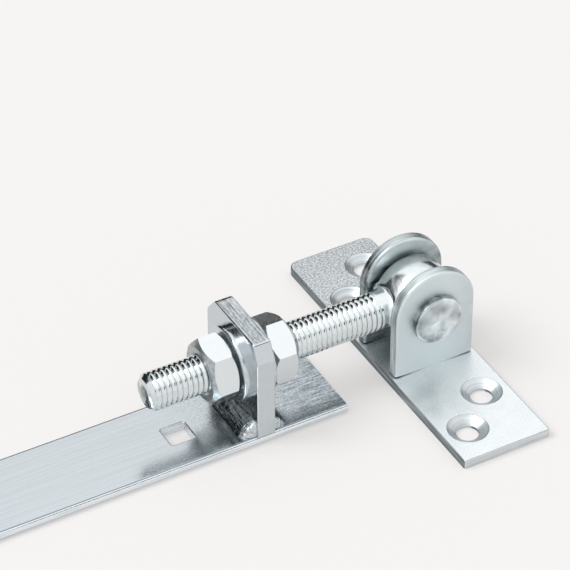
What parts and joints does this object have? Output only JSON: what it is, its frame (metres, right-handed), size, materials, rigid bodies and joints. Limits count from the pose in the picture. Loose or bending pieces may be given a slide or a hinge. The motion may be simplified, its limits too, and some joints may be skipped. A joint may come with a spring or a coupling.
{
  "type": "adjustable gate hinge",
  "caption": "Strap hinge for a gate: a threaded eye bolt is clamped by nuts in the strap's upright tab and riveted between the lugs of a screw-on wall plate.",
  "frame": {"origin": "middle of the wall plate's back face, straight below the pivot rivet", "axes": "+X along the strap towards the wall plate, +Y along the pivot rivet, +Z away from the post and the gate"},
  "size_m": [0.6875, 0.108, 0.0385],
  "materials": {
    "rolled_strap_zinc": "blue zinc plate on rolled flat bar, fine lengthwise rolling lines",
    "sheared_tab_zinc": "blue zinc plate on sawn flat bar",
    "weld_zinc": "blue zinc plate over a rippled weld",
    "washer_zinc": "bright zinc plate on punched steel",
    "thread_zinc": "bright zinc plate on a rolled thread and a turned eye",
    "nut_zinc": "bright zinc plate on smooth hexagon faces",
    "plate_zinc": "blue zinc plate on punched strip, faintly mottled",
    "lug_zinc": "satin zinc plate on pressed steel",
    "rivet_zinc": "bright zinc plate on a hammered rivet head"
  },
  "bodies": {
    "strap_assembly": {"strap_bar": "rolled_strap_zinc", "tab_plate": "sheared_tab_zinc", "front_weld_bead": "weld_zinc", "rear_weld_bead": "weld_zinc"},
    "washer_pair": {"front_washer": "washer_zinc", "rear_washer": "washer_zinc"},
    "bolt": {"eye_bolt": "thread_zinc"},
    "front_clamp_nut": {"front_nut": "nut_zinc"},
    "rear_clamp_nut": {"rear_nut": "nut_zinc"},
    "wall_bracket": {"wall_plate": "plate_zinc", "near_lug": "lug_zinc", "far_lug": "lug_zinc", "pivot_rivet": "rivet_zinc"}
  },
  "joints": [
    {"name": "bolt_swivel", "type": "hinge", "parent": "strap_assembly", "child": "washer_pair", "pos_m": [-0.0605, 0, 0.022], "axis": [1, 0, 0], "continuous": true},
    {"name": "front_nut_turn", "type": "hinge", "parent": "washer_pair", "child": "front_clamp_nut", "pos_m": [-0.0705, 0, 0.022], "axis": [1, 0, 0], "range_deg": [-3703, 3086]},
    {"name": "rear_nut_turn", "type": "hinge", "parent": "washer_pair", "child": "rear_clamp_nut", "pos_m": [-0.0505, 0, 0.022], "axis": [1, 0, 0], "range_deg": [-3703, 3086]},
    {"name": "bolt_slide", "type": "slide", "parent": "washer_pair", "child": "bolt", "axis": [1, 0, 0], "range_m": [-0.015, 0.018]},
    {"name": "wall_plate_hinge", "type": "hinge", "parent": "bolt", "child": "wall_bracket", "pos_m": [0, 0, 0.022], "axis": [0, -1, 0], "range_deg": [0, 180]}
  ],
  "couplings": [
    {"joint": "front_nut_turn", "follows": "bolt_slide", "rad_per_m": -3590.4},
    {"joint": "rear_nut_turn", "follows": "bolt_slide", "rad_per_m": -3590.4}
  ]
}
